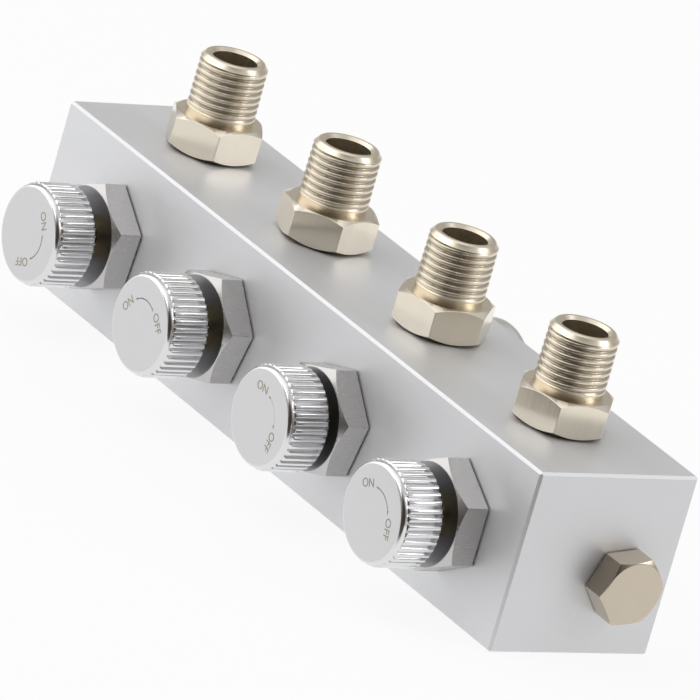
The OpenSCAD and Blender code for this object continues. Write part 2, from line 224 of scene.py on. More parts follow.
class MarkSizes(bpy.types.PropertyGroup):
    """Sizes of the marks on the knobs"""
    radius: FloatProperty(name="Radius", description="Middle of the words", default=5.4 * MM, unit="LENGTH")
    letter: FloatProperty(name="Letter", description="Size of the letters", default=2.3 * MM, unit="LENGTH")
    spread: FloatProperty(name="Spread", description="Angle from the middle to a word",
                          default=math.radians(68), subtype="ANGLE")
    lean: FloatProperty(name="Lean", description="Angle from the middle to the top of a word",
                        default=math.radians(51), subtype="ANGLE")
    arc_radius: FloatProperty(name="Arc radius", description="Radius of the arc", default=4.7 * MM,
                              unit="LENGTH")
    arc_half: FloatProperty(name="Arc", description="Half the angle of the arc", default=math.radians(35),
                            subtype="ANGLE")
    line: FloatProperty(name="Line", description="Width of the arc", default=0.14 * MM, unit="LENGTH")
    arrow: FloatProperty(name="Arrow", description="Size of an arrowhead", default=0.42 * MM, unit="LENGTH")
    proud: FloatProperty(name="Proud", description="Thickness of the print", default=0.02 * MM, unit="LENGTH")


class FittingSizes(bpy.types.PropertyGroup):
    """Sizes of the end plug and the rear inlet"""
    washer: FloatProperty(name="Washer", description="Washer thickness", default=0.3 * MM, unit="LENGTH")
    plug_flats: FloatProperty(name="Plug flats", description="Plug across flats", default=12.0 * MM,
                              unit="LENGTH")
    plug_tail: FloatProperty(name="Plug tail", description="Radius in the bar", default=4.864 * MM,
                             unit="LENGTH")
    inlet_tail: FloatProperty(name="Inlet tail", description="Radius in the bar", default=6.5 * MM,
                              unit="LENGTH")
    inlet_round: FloatProperty(name="Inlet round", description="Rounding of the inlet", default=3.0 * MM,
                               unit="LENGTH")
    drill: FloatProperty(name="Drill radius", description="Air way of the inlet", default=3.5 * MM,
                         unit="LENGTH")
    port: FloatProperty(name="Port radius", description="Crest of the port's thread", default=5.9 * MM,
                        unit="LENGTH")
    port_depth: FloatProperty(name="Port", description="Depth of the port", default=12.0 * MM, unit="LENGTH")
    pitch: FloatProperty(name="Pitch", description="Rise of one turn", default=1.337 * MM, unit="LENGTH")
    thread_depth: FloatProperty(name="Thread depth", description="Crest to root", default=0.6 * MM,
                                unit="LENGTH")


class Finishes(bpy.types.PropertyGroup):
    """Colours of the finishes"""
    aluminium: FloatVectorProperty(name="Aluminium", description="Satin bar", subtype="COLOR", size=3,
                                   min=0, max=1, default=(0.76, 0.765, 0.782))
    nickel: FloatVectorProperty(name="Nickel", description="Plating of the nipples", subtype="COLOR", size=3,
                                min=0, max=1, default=(0.76, 0.685, 0.56))
    dull: FloatVectorProperty(name="Dull nickel", description="End plug", subtype="COLOR", size=3,
                              min=0, max=1, default=(0.56, 0.495, 0.4))
    # Brighter than the plating of the same nipples: painted light on the flats
    flats: FloatVectorProperty(name="Nickel flats", description="Hexagons of the nipples", subtype="COLOR",
                               size=3, min=0, max=1, default=(0.8, 0.735, 0.62))
    cast: FloatVectorProperty(name="Cast chrome", description="Rear inlet", subtype="COLOR", size=3,
                              min=0, max=1, default=(0.74, 0.73, 0.7))
    bright: FloatVectorProperty(name="Bright chrome", description="Grips", subtype="COLOR", size=3,
                                min=0, max=1, default=(0.74, 0.74, 0.75))
    chrome: FloatVectorProperty(name="Chrome", description="Flats of the bonnets", subtype="COLOR", size=3,
                                min=0, max=1, default=(0.54, 0.527, 0.52))
    # Painted shade of the gap between a bonnet and its knob
    dark: FloatVectorProperty(name="Dark chrome", description="Turned faces of the bonnets", subtype="COLOR",
                              size=3, min=0, max=1, default=(0.3, 0.3, 0.31))
    satin: FloatVectorProperty(name="Satin chrome", description="Knob faces", subtype="COLOR", size=3,
                               min=0, max=1, default=(0.66, 0.66, 0.67))
    brass: FloatVectorProperty(name="Brass", description="Stems", subtype="COLOR", size=3,
                               min=0, max=1, default=(0.36, 0.3, 0.16))
    rubber: FloatVectorProperty(name="Rubber", description="Washers and rings", subtype="COLOR", size=3,
                                min=0, max=1, default=(0.02, 0.02, 0.022))
    plastic: FloatVectorProperty(name="Plastic", description="Seat discs", subtype="COLOR", size=3,
                                 min=0, max=1, default=(0.8, 0.79, 0.74))
    ink: FloatVectorProperty(name="Ink", description="Marks on the knobs", subtype="COLOR", size=3,
                             min=0, max=1, default=(0.36, 0.31, 0.215))


class StageSizes(bpy.types.PropertyGroup):
    """Floor and camera"""
    floor: FloatProperty(name="Floor", description="Side of the floor", default=6.0, unit="LENGTH")
    camera_place: FloatVectorProperty(name="Camera", description="Place of the camera", size=3, unit="LENGTH",
                                      default=(1.515371, -1.185638, 0.673741))
    lens: FloatProperty(name="Lens", description="Focal length in millimetres", default=572.27)


# Modelling helpers


def middle(node):
    """Middle of a node's box."""
    low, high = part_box(node)
    return (low + high) / 2


def deselect():
    """Back to object mode with nothing selected."""
    if bpy.context.mode != "OBJECT":
        bpy.ops.object.mode_set(mode="OBJECT")
    bpy.ops.object.select_all(action="DESELECT")


def pick(piece):
    """Select one object alone and make it active."""
    deselect()
    piece.select_set(True)
    bpy.context.view_layer.objects.active = piece


def bake_place():
    """Move the active object's place, turn and scale into its mesh."""
    bpy.ops.object.transform_apply(location=True, rotation=True, scale=True)


def apply_modifier(piece, kind, **settings):
    """Add a modifier, set it and apply it."""
    pick(piece)
    modifier = piece.modifiers.new(kind.lower(), kind)
    for key, value in settings.items():
        setattr(modifier, key, value)
    bpy.ops.object.modifier_apply(modifier=modifier.name)


def seat(piece, place, facing, turn=0.0):
    """Put a piece built on its own Z axis in its place, with the place in its mesh."""
    pick(piece)
    spin = Matrix.Rotation(math.radians(turn), 4, "Z")
    piece.matrix_world = Matrix.Translation(place) @ facing.to_4x4() @ spin
    bake_place()


def weld(piece, near, outwards=False):
    """Merge the points that fall together and, if asked, turn all faces outwards."""
    pick(piece)
    bpy.ops.object.mode_set(mode="EDIT")
    bpy.ops.mesh.select_all(action="SELECT")
    bpy.ops.mesh.remove_doubles(threshold=near)
    if outwards:
        bpy.ops.mesh.normals_make_consistent(inside=False)
    deselect()


def single_point(name):
    """A new object with one selected point at the origin, in edit mode."""
    deselect()
    bpy.ops.mesh.primitive_plane_add(size=MM)
    piece = bpy.context.active_object
    piece.name = name
    piece.data.name = name
    bpy.ops.object.mode_set(mode="EDIT")
    bpy.ops.mesh.select_mode(type="VERT")
    bpy.ops.mesh.select_all(action="SELECT")
    bpy.ops.mesh.merge(type="CENTER")
    return piece


def lathe(name, profile, steps):
    """Turn a profile of (radius, height) points about Z by extruding a vertex and spinning it."""
    piece = single_point(name)
    bpy.ops.transform.translate(value=(profile[0][0], 0, profile[0][1]))
    for (r0, z0), (r1, z1) in zip(profile, profile[1:]):
        bpy.ops.mesh.extrude_vertices_move(TRANSFORM_OT_translate={"value": (r1 - r0, 0, z1 - z0)})
    bpy.ops.mesh.select_all(action="SELECT")
    bpy.ops.mesh.spin(steps=steps, angle=math.tau, center=(0, 0, 0), axis=(0, 0, 1))
    weld(piece, TURNED_MERGE, outwards=True)
    return piece


def carve(piece, tool, operation):
    """Boolean one piece with another, which is used up, and merge the points that fall together."""
    apply_modifier(piece, "BOOLEAN", operation=operation, object=tool, solver="EXACT")
    bpy.data.objects.remove(tool)
    weld(piece, CARVED_MERGE)


def smooth(piece, angle=SMOOTH_ANGLE):
    """Shade smooth below an angle, with flats kept flat by weighting normals by face area."""
    pick(piece)
    bpy.ops.object.shade_smooth_by_angle(angle=math.radians(angle))
    apply_modifier(piece, "WEIGHTED_NORMAL", weight=100, keep_sharp=True)


def arc(centre, radius, start, stop, count):
    """Points of a circle in a profile, angles in degrees from outwards to upwards."""
    angles = [math.radians(start + (stop - start) * k / count) for k in range(count + 1)]
    return [(centre[0] + radius * math.cos(a), centre[1] + radius * math.sin(a)) for a in angles]


def polar(radius, angle):
    """A point of a circle about Z."""
    return Vector((radius * math.cos(angle), radius * math.sin(angle), 0))


def solid_tail(name, radius, edge, low, high, steps):
    """A solid turned tail between two heights, with a sloped edge at its low end."""
    profile = [(0, low), (radius - edge, low), (radius, low + edge), (radius, high), (0, high)]
    return lathe(name, profile, steps)


def turned_hexagon(name, flats, height, low, high, hole=0.0):
    """A hexagon bar end: six flats with broken corners, sloped off and rounded in the lathe
    at its low end, its high end or both."""
    corner = flats / math.sqrt(3)
    face = flats * FACE_SHARE
    wide = corner + MM
    fall = (wide - face) * FACE_FALL
    bottom, top = [(wide, 0)], [(wide, height)]
    if low:
        bottom = [(face - RIM_IN, 0), (face + RIM_OUT, RIM_DOWN), (wide, fall)]
    if high:
        top = [(wide, height - fall), (face + RIM_OUT, height - RIM_DOWN), (face - RIM_IN, height)]
    turned = lathe(name + "_turned", [(0, 0), *bottom, *top, (0, height)], HEXAGON_STEPS)
    deselect()
    bpy.ops.mesh.primitive_cylinder_add(vertices=6, radius=corner, depth=height * BAR_OVER,
                                        location=(0, 0, height / 2), rotation=(0, 0, math.radians(-30)))
    piece = bpy.context.active_object
    piece.name = name
    piece.data.name = name
    bake_place()
    apply_modifier(piece, "BEVEL", width=CORNER_BREAK, segments=2, limit_method="ANGLE",
                   angle_limit=CORNER_ANGLE)
    carve(piece, turned, "INTERSECT")
    if hole:
        through = [(0, -height), (hole, -height), (hole, 2 * height), (0, 2 * height)]
        carve(piece, lathe(name + "_drill", through, DRILL_STEPS), "DIFFERENCE")
    return piece


def thread_rings(radius, low, high, rings):
    """Points of a profile for a thread to be cut in, evenly from the low to the high end."""
    return [(radius, low + (high - low) * k / rings) for k in range(rings + 1)]


def cut_thread(piece, radius, low, high, pitch, depth, taper=0.0, start=0.0):
    """Press a rounded helical thread into the rings of a turned piece between two heights.
    A positive depth cuts inwards, a negative one outwards. The taper is radius lost per height."""
    run = 0.5 * pitch
    for vertex in piece.data.vertices:
        x, y, z = vertex.co
        r = math.hypot(x, y)
        if not (low <= z <= high) or abs(r - radius) > CREST_NEAR:
            continue
        phase = ((z - low) / pitch - (math.atan2(y, x) - start) / math.tau) % 1.0
        slope = min(1.0, max(0.0, (THREAD_HALF - abs(phase - 0.5)) / THREAD_FLANK))
        wave = slope * slope * (3.0 - 2.0 * slope)
        fade = min(1.0, (z - low) / run, THREAD_END * (high - z) / run)
        scale = (r - depth * wave * fade - taper * (z - low)) / r
        vertex.co.x, vertex.co.y = x * scale, y * scale


def note_roots(piece, radius, low, high, depth, taper):
    """Store how deep each point lies in a thread, so that its material can paint shade into the roots."""
    roots = piece.data.attributes.new("root", "FLOAT", "POINT")
    for vertex, root in zip(piece.data.vertices, roots.data):
        x, y, z = vertex.co
        sunk = (radius - taper * (z - low) - math.hypot(x, y)) / depth
        root.value = min(1.0, max(0.0, sunk)) if low <= z <= high and sunk < ROOT_LIMIT else 0.0


def copies(source, name):
    """One piece for each station, each with a mesh of its own; the first is the source."""
    pieces = [source]
    for _ in STATIONS[1:]:
        pick(source)
        bpy.ops.object.duplicate(linked=False)
        pieces.append(bpy.context.active_object)
    for number, piece in zip(STATIONS, pieces):
        piece.name = f"{name}_{number}"
        piece.data.name = piece.name
    return list(zip(STATIONS, pieces))


def dress(piece, *materials):
    """Give a piece its materials in slot order."""
    piece.data.materials.clear()
    for material in materials:
        piece.data.materials.append(material)


def dress_faces(piece, first, second, chosen):
    """Give a piece two materials, the second on the faces that are chosen."""
    dress(piece, material(first), material(second))
    for face in piece.data.polygons:
        face.material_index = 1 if chosen(face) else 0


def settle(piece, body, slot, *nodes):
    """Fix a finished piece to its body and hide the nodes it stands for. The slot is not used."""
    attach(piece, body)
    if nodes:
        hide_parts(*nodes)


# Materials


def add(tree, kind, values=None, **settings):
    """A new node with its settings, and values for its input sockets by name or number."""
    node = tree.nodes.new(kind)
    for key, value in settings.items():
        setattr(node, key, value)
    for key, value in (values or {}).items():
        node.inputs[key].default_value = value
    return node


def link(tree, *wires):
    """Join nodes: a wire is a node and its output, then a node and its input."""
    for source, outlet, target, inlet in wires:
        tree.links.new(source.outputs[outlet], target.inputs[inlet])


def between(tree, limits):
    """A node that rises smoothly from 0 to 1 between two limits."""
    return add(tree, "ShaderNodeMapRange", {"From Min": limits[0], "From Max": limits[1]},
               interpolation_type="SMOOTHSTEP")


def grain_group():
    """Node group: fine marks stretched by its vector, as a colour shade, a roughness shift and a height."""
    name = "tooling_grain"
    if name in bpy.data.node_groups:
        return bpy.data.node_groups[name]
    tree = bpy.data.node_groups.new(name, "ShaderNodeTree")
    sockets = (("Vector", "Vector", "INPUT"), ("Scale", "Float", "INPUT"), ("Colour", "Color", "INPUT"),
               ("Shade", "Float", "INPUT"), ("Roughness", "Float", "INPUT"), ("Spread", "Float", "INPUT"),
               ("Colour", "Color", "OUTPUT"), ("Roughness", "Float", "OUTPUT"), ("Height", "Float", "OUTPUT"))
    for label, kind, way in sockets:
        tree.interface.new_socket(name=label, in_out=way, socket_type="NodeSocket" + kind)
    into, out = add(tree, "NodeGroupInput"), add(tree, "NodeGroupOutput")
    fine = add(tree, "ShaderNodeTexNoise", {"Detail": 4.0})
    broad = add(tree, "ShaderNodeTexNoise", {"Detail": 2.0})
    coarser = add(tree, "ShaderNodeMath", {1: BROAD_GRAIN}, operation="MULTIPLY")
    both = add(tree, "ShaderNodeMath", operation="ADD")
    centred = add(tree, "ShaderNodeMath", {1: 1.0}, operation="SUBTRACT")
    rough = add(tree, "ShaderNodeMath", operation="MULTIPLY_ADD")
    shade = add(tree, "ShaderNodeMath", {2: 1.0}, operation="MULTIPLY_ADD")
    tint = add(tree, "ShaderNodeVectorMath", operation="SCALE")
    link(tree,
         (into, "Vector", fine, "Vector"), (into, "Scale", fine, "Scale"),
         (into, "Scale", coarser, 0),
         (into, "Vector", broad, "Vector"), (coarser, 0, broad, "Scale"),
         (fine, "Fac", both, 0), (broad, "Fac", both, 1), (both, 0, centred, 0),
         (centred, 0, rough, 0), (into, "Spread", rough, 1), (into, "Roughness", rough, 2),
         (centred, 0, shade, 0), (into, "Shade", shade, 1),
         (into, "Colour", tint, 0), (shade, 0, tint, "Scale"),
         (tint, 0, out, "Colour"), (rough, 0, out, "Roughness"), (fine, "Fac", out, "Height"))
    return tree


def finish(name, colour, roughness, stretch, scale, shade, spread, bump, metallic, root):
    """A procedural finish: tooling grain drives colour, roughness and bump of one shader, and the depth
    stored in a thread paints shade into its roots."""
    made = bpy.data.materials.new(name)
    made.use_nodes = True
    tree = made.node_tree
    shader = tree.nodes["Principled BSDF"]
    shader.inputs["Metallic"].default_value = metallic
    place = add(tree, "ShaderNodeTexCoord")
    mapping = add(tree, "ShaderNodeMapping", {"Scale": stretch})
    grain = add(tree, "ShaderNodeGroup", {"Scale": scale, "Colour": (*colour, 1.0), "Shade": shade,
                                          "Roughness": roughness, "Spread": spread}, node_tree=grain_group())
    relief = add(tree, "ShaderNodeBump", {"Strength": bump, "Distance": GRAIN_RELIEF})
    link(tree,
         (place, "Object", mapping, "Vector"), (mapping, "Vector", grain, "Vector"),
         (grain, "Colour", shader, "Base Color"), (grain, "Roughness", shader, "Roughness"),
         (grain, "Height", relief, "Height"), (relief, "Normal", shader, "Normal"))
    # Painted shade: the stored depth darkens the roots of a thread
    if root:
        sunk = add(tree, "ShaderNodeAttribute", attribute_name="root")
        share = add(tree, "ShaderNodeMath", {1: root}, operation="MULTIPLY")
        shaded_roots = add(tree, "ShaderNodeMix", data_type="RGBA")
        shaded_roots.inputs[MIX_TO].default_value = ROOT_SHADE
        link(tree,
             (sunk, "Fac", share, 0), (share, 0, shaded_roots, 0), (grain, "Colour", shaded_roots, MIX_FROM),
             (shaded_roots, MIXED, shader, "Base Color"))
    return made


def material(name):
    """A finish by name, made on first use from the scene's colours."""
    if name in bpy.data.materials:
        return bpy.data.materials[name]
    colour, *values = FINISHES[name]
    return finish(name, getattr(bpy.context.scene.manifold_finishes, colour), *values)


# Operators


class MANIFOLD_OT_bar(bpy.types.Operator):
    """Give the bar, washers, rings and seat discs their finishes"""
    bl_idname = "manifold.bar"
    bl_label = "Bar and seals"

    def execute(self, context):
        dress(NODES["manifold_block"], material("satin_aluminium"))
        for node in ("outlet_washers", "bonnet_washers", "stem_rings", "end_plug_washer", "inlet_washer"):
            dress(NODES[node], material("seal_rubber"))
        for i in STATIONS:
            dress(NODES[f"seat_disc_{i}"], material("seat_plastic"))
        return {"FINISHED"}


class MANIFOLD_OT_nipples(bpy.types.Operator):
    """Model the threaded outlet nipples"""
    bl_idname = "manifold.nipples"
    bl_label = "Outlet nipples"

    def execute(self, context):
        s = context.scene.manifold_nipples
        hex_low, hex_high = s.washer, s.washer + s.hex_height
        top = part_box("outlet_nipple_1")[1].z - BAR_HIGH.z
        thread_low, thread_high = hex_high + s.neck, top - s.tip
        thread = thread_rings(s.radius, thread_low, thread_high,
                              round((thread_high - thread_low) / s.pitch * NIPPLE_RINGS))
        end = s.radius - s.taper * (thread_high - thread_low)
        lip = arc((end - s.lead - s.lip, top - s.lip), s.lip, *LIP_ARC)
        tail_edge, mouth_edge = 0.5 * MM, 0.2 * MM
        swell_low, swell_high = hex_low + 0.3 * MM, hex_low + 0.8 * MM
        flare, flare_low = s.neck_radius + 0.1 * MM, thread_low - 0.4 * MM
        profile = [(s.bore, -s.tail), (s.tail_radius - tail_edge, -s.tail),
                   (s.tail_radius, -s.tail + tail_edge), (s.tail_radius, swell_low),
                   (s.neck_radius, swell_high), (s.neck_radius, hex_high + 0.5 * s.neck),
                   (flare, flare_low), *thread, *lip,
                   (s.mouth + mouth_edge, top), (s.mouth, top - mouth_edge),
                   (s.bore, top - mouth_edge - (s.mouth - s.bore)), (s.bore, hex_high), (s.bore, -s.tail)]
        tube = lathe("nipple_tube", profile, TUBE_STEPS)
        cut_thread(tube, s.radius, thread_low, thread_high, s.pitch, s.depth, s.taper, s.start)
        inside = (s.bore + s.neck_radius) / 2
        hexagon = turned_hexagon("nipple_hexagon", s.flats, s.hex_height, True, True, inside)
        seat(hexagon, Vector((0, 0, hex_low)), UP)
        carve(tube, hexagon, "UNION")
        smooth(tube)
        # Depth in the thread, for the painted shade in its roots
        note_roots(tube, s.radius, thread_low, thread_high, s.depth, s.taper)
        outside = s.neck_radius + 0.3 * MM
        for i, piece in copies(tube, "threaded_nipple"):
            axis = middle(f"outlet_nipple_{i}")
            # The flats take the brighter copy of the plating: painted light, with a real brushed grain
            dress_faces(piece, "nickel_plate", "nickel_flats", lambda face: face.center.z < hex_high
                        and math.hypot(face.center.x, face.center.y) > outside)
            seat(piece, Vector((axis.x, axis.y, BAR_HIGH.z)), UP, NIPPLE_TURN[i])
            settle(piece, "manifold", "nickel", f"outlet_nipple_{i}")
        return {"FINISHED"}


class MANIFOLD_OT_bonnets(bpy.types.Operator):
    """Model the hexagon bonnets"""
    bl_idname = "manifold.bonnets"
    bl_label = "Valve bonnets"

    def execute(self, context):
        s = context.scene.manifold_valves
        hole, top = s.stem + s.fit, s.washer + s.bonnet
        tail_edge, overlap, mouth_edge = 0.6 * MM, 0.5 * MM, 0.1 * MM
        bonnet = turned_hexagon("bonnet", s.flats, s.bonnet, False, True)
        seat(bonnet, Vector((0, 0, s.washer)), UP)
        tail = solid_tail("bonnet_tail", s.tail_radius, tail_edge, -s.tail, s.washer + overlap, DRILL_STEPS)
        carve(bonnet, tail, "UNION")
        through = [(0, -s.tail - MM), (hole, -s.tail - MM), (hole, top - mouth_edge),
                   (hole + 2 * mouth_edge, top + mouth_edge), (0, top + mouth_edge)]
        carve(bonnet, lathe("bonnet_drill", through, DRILL_STEPS), "DIFFERENCE")
        smooth(bonnet)
        for i, piece in copies(bonnet, "chrome_bonnet"):
            axis = middle(f"valve_knob_{i}")
            seat(piece, Vector((axis.x, BAR_LOW.y, axis.z)), FRONT, BONNET_TURN[i])
            # The turned front faces get dark chrome: painted shade of the gap under the knob
            dress_faces(piece, "soft_chrome", "dark_chrome", lambda face: face.normal.y < -FACE_ON)
            settle(piece, "manifold", "bonnet_chrome", f"valve_bonnet_{i}")
        return {"FINISHED"}


class MANIFOLD_OT_stems(bpy.types.Operator):
    """Model the brass stems with their pin, ring groove and spigot"""
    bl_idname = "manifold.stems"
    bl_label = "Valve stems"

    def execute(self, context):
        s = context.scene.manifold_valves
        low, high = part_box("valve_stem_1")
        length = high.y - low.y
        shank_high = length - (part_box("valve_knob_1")[1].y - low.y)
        shank_low = shank_high - s.shank
        low_edge, high_edge, ring_edge = 0.4 * MM, 0.3 * MM, 0.15 * MM
        ring, ring_low = s.stem - s.ring_depth, shank_high - s.ring_drop
        ring_high = ring_low + s.ring_width
        profile = [(0, 0), (s.pin, 0), (s.pin, s.pin_length), (s.stem_neck, s.pin_length),
                   (s.stem_neck, shank_low), (s.stem - low_edge, shank_low), (s.stem, shank_low + low_edge),
                   (s.stem, ring_low), (ring, ring_low + ring_edge), (ring, ring_high - ring_edge),
                   (s.stem, ring_high), (s.stem, shank_high - high_edge), (s.stem - high_edge, shank_high),
                   (s.spigot, shank_high), (s.spigot, length), (0, length)]
        stem = lathe("stem", profile, STEM_STEPS)
        smooth(stem)
        for i, piece in copies(stem, "brass_stem"):
            axis = middle(f"valve_stem_{i}")
            seat(piece, Vector((axis.x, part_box(f"valve_stem_{i}")[1].y, axis.z)), FRONT)
            dress(piece, material("turned_brass"))
            settle(piece, f"knob_{i}", "stem_brass", f"valve_stem_{i}")
        return {"FINISHED"}


class MANIFOLD_OT_knobs(bpy.types.Operator):
    """Model the grooved knobs: turned blank, pressed grooves, satin face"""
    bl_idname = "manifold.knobs"
    bl_label = "Valve knobs"

    def press_grooves(self, knob, crest, high, count, depth):
        """Press the grooves into a turned blank, up to a height."""
        for vertex in knob.data.vertices:
            x, y, z = vertex.co
            r = math.hypot(x, y)
            if z > high or r < crest - MM:
                continue
            turn = (math.atan2(y, x) / math.tau * count) % 1.0
            dip = max(0.0, 1.0 - abs(turn - 0.5) / GROOVE_HALF)
            crown = GROOVE_CROWN * (1.0 - math.cos(math.tau * turn)) * 0.5
            press = min(r, crest - depth * (dip ** GROOVE_FORM + crown))
            vertex.co.x, vertex.co.y = x * press / r, y * press / r

    def execute(self, context):
        s = context.scene.manifold_valves
        low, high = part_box("valve_knob_1")
        length, crest = high.y - low.y, (high.x - low.x) / 2
        rim, grip_high = crest - s.rim_in, length - s.rim
        face_ring, face_low = 0.6 * rim, length - 0.02 * MM
        back = [(crest - 2.2 * MM, 0), (crest - 0.8 * MM, 0.01 * MM)]
        grip = [(crest, z) for z in (*GRIP_HEIGHTS, grip_high - 0.4 * MM)]
        shoulder = [(crest - 0.1 * MM, grip_high - 0.12 * MM), (rim + 0.05 * MM, grip_high),
                    (rim, grip_high + 0.1 * MM)]
        front = arc((rim - s.rim_round, length - s.rim_round), s.rim_round, *RIM_ARC)
        profile = [(0, s.socket_depth), (s.socket, s.socket_depth), (s.socket, 0), *back, *grip, *shoulder,
                   *front, (face_ring, length), (0, length)]
        knob = lathe("knob", profile, s.grooves * GROOVE_STEPS)
        self.press_grooves(knob, crest, grip_high + 0.01 * MM, s.grooves, s.groove_depth)
        smooth(knob, GRIP_SMOOTH_ANGLE)
        for i, piece in copies(knob, "grooved_knob"):
            axis = middle(f"valve_knob_{i}")
            dress_faces(piece, "bright_chrome", "satin_chrome", lambda face: face.center.z > face_low)
            seat(piece, Vector((axis.x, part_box(f"valve_knob_{i}")[1].y, axis.z)), FRONT)
            settle(piece, f"knob_{i}", "knob_chrome", f"valve_knob_{i}")
        return {"FINISHED"}


class MANIFOLD_OT_marks(bpy.types.Operator):
    """Print ON, OFF and the arrowed arc on the knob faces"""
    bl_idname = "manifold.marks"
    bl_label = "Knob marks"

    def word(self, text, size, place, lean):
        """A word at a place on the face, its top towards an angle."""
        deselect()
        bpy.ops.object.text_add()
        piece = bpy.context.active_object
        piece.data.body = text
        piece.data.align_x = "CENTER"
        piece.data.align_y = "CENTER"
        piece.data.size = size
        pick(piece)
        bpy.ops.object.convert(target="MESH")
        piece = bpy.context.active_object
        piece.matrix_world = Matrix.Translation(place) @ Matrix.Rotation(lean - math.pi / 2, 4, "Z")
        bake_place()
        return piece

    def arrow(self, size, radius, angle, way):
        """An arrowhead that points along a circle."""
        deselect()
        bpy.ops.mesh.primitive_circle_add(vertices=3, radius=size, fill_type="NGON")
        piece = bpy.context.active_object
        piece.scale = ARROW_FORM
        bake_place()
        point = angle if way > 0 else angle + math.pi
        piece.matrix_world = Matrix.Translation(polar(radius, angle)) @ Matrix.Rotation(point, 4, "Z")
        bake_place()
        return piece

    def line(self, width, radius, half):
        """A thin arc, spun from one edge."""
        piece = single_point("mark_line")
        start = polar(1.0, half)
        bpy.ops.transform.translate(value=start * (radius - width / 2))
        bpy.ops.mesh.extrude_vertices_move(TRANSFORM_OT_translate={"value": start * width})
        bpy.ops.mesh.select_all(action="SELECT")
        bpy.ops.mesh.spin(steps=ARC_STEPS, angle=2 * half, center=(0, 0, 0), axis=(0, 0, 1))
        deselect()
        return piece

    def execute(self, context):
        s = context.scene.manifold_marks
        parts = [self.word(text, s.letter, polar(s.radius, way * s.spread), way * s.lean)
                 for text, way in (("ON", 1), ("OFF", -1))]
        parts.append(self.line(s.line, s.arc_radius, s.arc_half))
        parts += [self.arrow(s.arrow, s.arc_radius, way * s.arc_half, way) for way in (1, -1)]
        deselect()
        for part in parts:
            part.select_set(True)
        bpy.context.view_layer.objects.active = parts[0]
        bpy.ops.object.join()
        sheet = bpy.context.active_object
        weld(sheet, PRINTED_MERGE, outwards=True)
        if sum(face.normal.z for face in sheet.data.polygons) < 0:
            sheet.data.flip_normals()
        apply_modifier(sheet, "SOLIDIFY", thickness=s.proud, offset=1.0)
        for i, piece in copies(sheet, "knob_marks"):
            axis, front = middle(f"valve_knob_{i}"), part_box(f"valve_knob_{i}")[0].y
            seat(piece, Vector((axis.x, front, axis.z)), FRONT, MARK_TURN[i])
            dress(piece, material("mark_ink"))
            settle(piece, f"knob_{i}", "knob_chrome")
        return {"FINISHED"}


class MANIFOLD_OT_fittings(bpy.types.Operator):
    """Model the end plug and the rear inlet fitting"""
    bl_idname = "manifold.fittings"
    bl_label = "Plug and inlet"

    def plug(self, s):
        """The hexagon plug in the bar's end."""
        low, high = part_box("end_plug")
        head, inside = high.x - BAR_HIGH.x - s.washer, BAR_HIGH.x - low.x
        tail_edge, overlap = 0.6 * MM, 0.4 * MM
        plug = turned_hexagon("plug", s.plug_flats, head, False, True)
        seat(plug, Vector((0, 0, s.washer)), UP)
        tail = solid_tail("plug_tail", s.plug_tail, tail_edge, -inside, s.washer + overlap, PLUG_STEPS)
        carve(plug, tail, "UNION")
        smooth(plug)
        plug.name = "hexagon_plug"
        axis = middle("end_plug_washer")
        seat(plug, Vector((BAR_HIGH.x, axis.y, axis.z)), END, PLUG_TURN)
        dress(plug, material("nickel_dull"))
        settle(plug, "manifold", "nickel", "end_plug")

    def inlet(self, s):
        """The round fitting behind the bar with its threaded port."""
        low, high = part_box("inlet_fitting")
        top, inside = high.y - BAR_HIGH.y, BAR_HIGH.y - low.y
        radius, floor = (high.x - low.x) / 2, top - s.port_depth
        tail_edge, foot_edge, port_edge = 0.5 * MM, 0.4 * MM, 0.9 * MM
        thread_low, thread_high = floor + 0.6 * MM, top - MM
        thread = thread_rings(s.port, thread_high, thread_low,
                              round((thread_high - thread_low) / s.pitch * INLET_RINGS))
        rounded = arc((radius - s.inlet_round, top - s.inlet_round), s.inlet_round, *INLET_ARC)
        profile = [(s.drill, -inside), (s.inlet_tail - tail_edge, -inside),
                   (s.inlet_tail, -inside + tail_edge), (s.inlet_tail, s.washer),
                   (radius - foot_edge, s.washer), (radius, s.washer + foot_edge), *rounded,
                   (s.port + port_edge, top), (s.port, top - port_edge), *thread, (s.port, floor),
                   (s.drill, floor), (s.drill, -inside)]
        fitting = lathe("inlet_socket", profile, TUBE_STEPS)
        cut_thread(fitting, s.port, thread_low, thread_high, s.pitch, -s.thread_depth)
        smooth(fitting)
        axis = middle("inlet_fitting")
        seat(fitting, Vector((axis.x, BAR_HIGH.y, axis.z)), REAR)
        dress(fitting, material("cast_chrome"))
        settle(fitting, "manifold", "bonnet_chrome", "inlet_fitting")

    def execute(self, context):
        self.plug(context.scene.manifold_fittings)
        self.inlet(context.scene.manifold_fittings)
        return {"FINISHED"}


